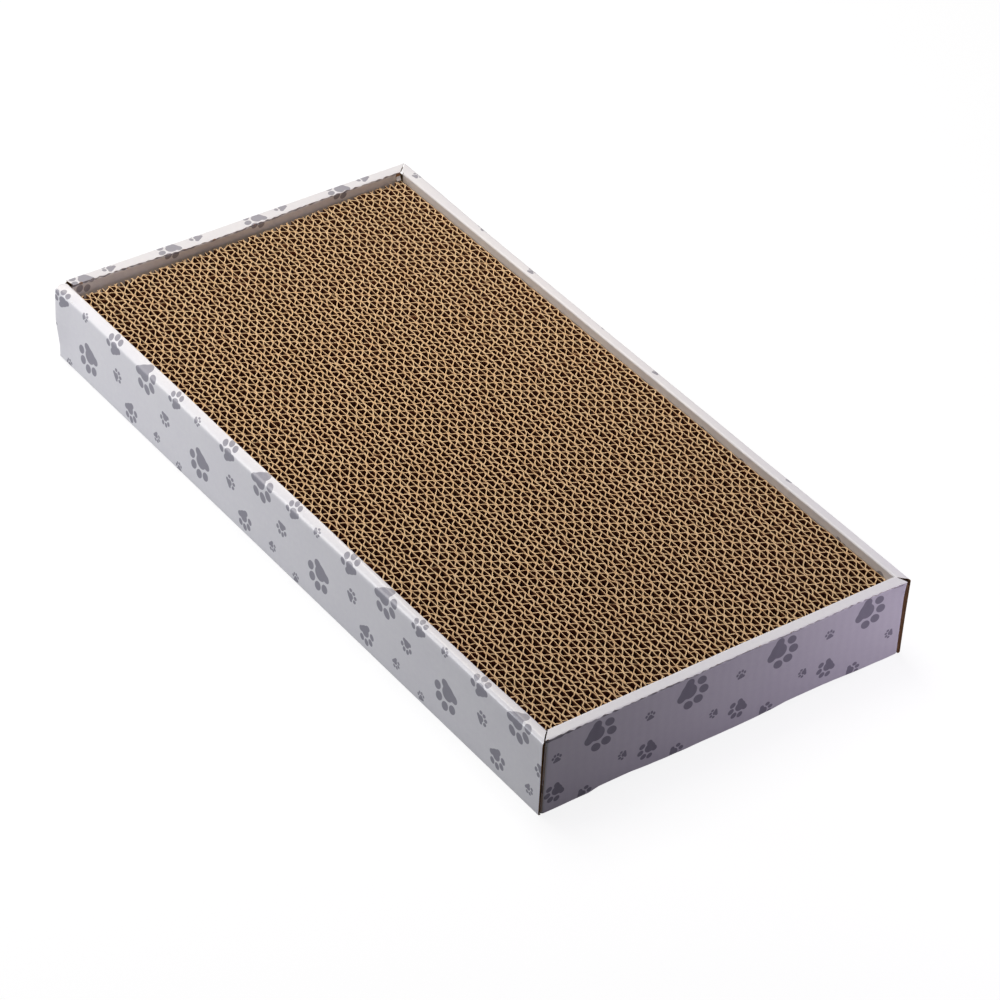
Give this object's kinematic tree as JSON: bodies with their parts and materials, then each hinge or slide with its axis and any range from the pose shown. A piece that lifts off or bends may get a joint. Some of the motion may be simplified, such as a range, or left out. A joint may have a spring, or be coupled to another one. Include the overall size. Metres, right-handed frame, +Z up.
{
  "type": "cardboard cat scratcher",
  "caption": "Long shallow folded cardboard tray with flat ledges round its rim, holding a loose pad of glued corrugated strips on edge that a cat scratches.",
  "frame": {"origin": "middle of the tray's underside, on the surface that it stands on", "axes": "+Z up, Y along the tray's length and the strips, X across its width; -Y is the end nearest the camera in the picture"},
  "size_m": [0.2498, 0.49, 0.0519],
  "materials": {
    "white_lined_board": "satin",
    "kraft_strip_board": "matte"
  },
  "bodies": {
    "tray": {"base_panel": "white_lined_board", "left_outer_panel": "white_lined_board", "right_outer_panel": "white_lined_board", "near_outer_panel": "white_lined_board", "far_outer_panel": "white_lined_board", "left_ledge": "white_lined_board", "right_ledge": "white_lined_board", "near_ledge": "white_lined_board", "far_ledge": "white_lined_board", "left_inner_panel": "white_lined_board", "right_inner_panel": "white_lined_board", "near_inner_panel": "white_lined_board", "far_inner_panel": "white_lined_board", "near_left_flap": "white_lined_board", "near_right_flap": "white_lined_board", "far_left_flap": "white_lined_board", "far_right_flap": "white_lined_board"},
    "pad": {"strip_01": "kraft_strip_board", "strip_02": "kraft_strip_board", "strip_03": "kraft_strip_board", "strip_04": "kraft_strip_board", "strip_05": "kraft_strip_board", "strip_06": "kraft_strip_board", "strip_07": "kraft_strip_board", "strip_08": "kraft_strip_board", "strip_09": "kraft_strip_board", "strip_10": "kraft_strip_board", "strip_11": "kraft_strip_board", "strip_12": "kraft_strip_board", "strip_13": "kraft_strip_board", "strip_14": "kraft_strip_board", "strip_15": "kraft_strip_board", "strip_16": "kraft_strip_board", "strip_17": "kraft_strip_board", "strip_18": "kraft_strip_board", "strip_19": "kraft_strip_board", "strip_20": "kraft_strip_board", "strip_21": "kraft_strip_board", "strip_22": "kraft_strip_board", "strip_23": "kraft_strip_board", "strip_24": "kraft_strip_board", "strip_25": "kraft_strip_board", "strip_26": "kraft_strip_board", "strip_27": "kraft_strip_board", "strip_28": "kraft_strip_board", "strip_29": "kraft_strip_board", "strip_30": "kraft_strip_board"}
  },
  "joints": [
    {"name": "pad_lift", "type": "slide", "parent": "tray", "child": "pad", "axis": [0, 0, 1], "range_m": [0, 0.06]}
  ]
}
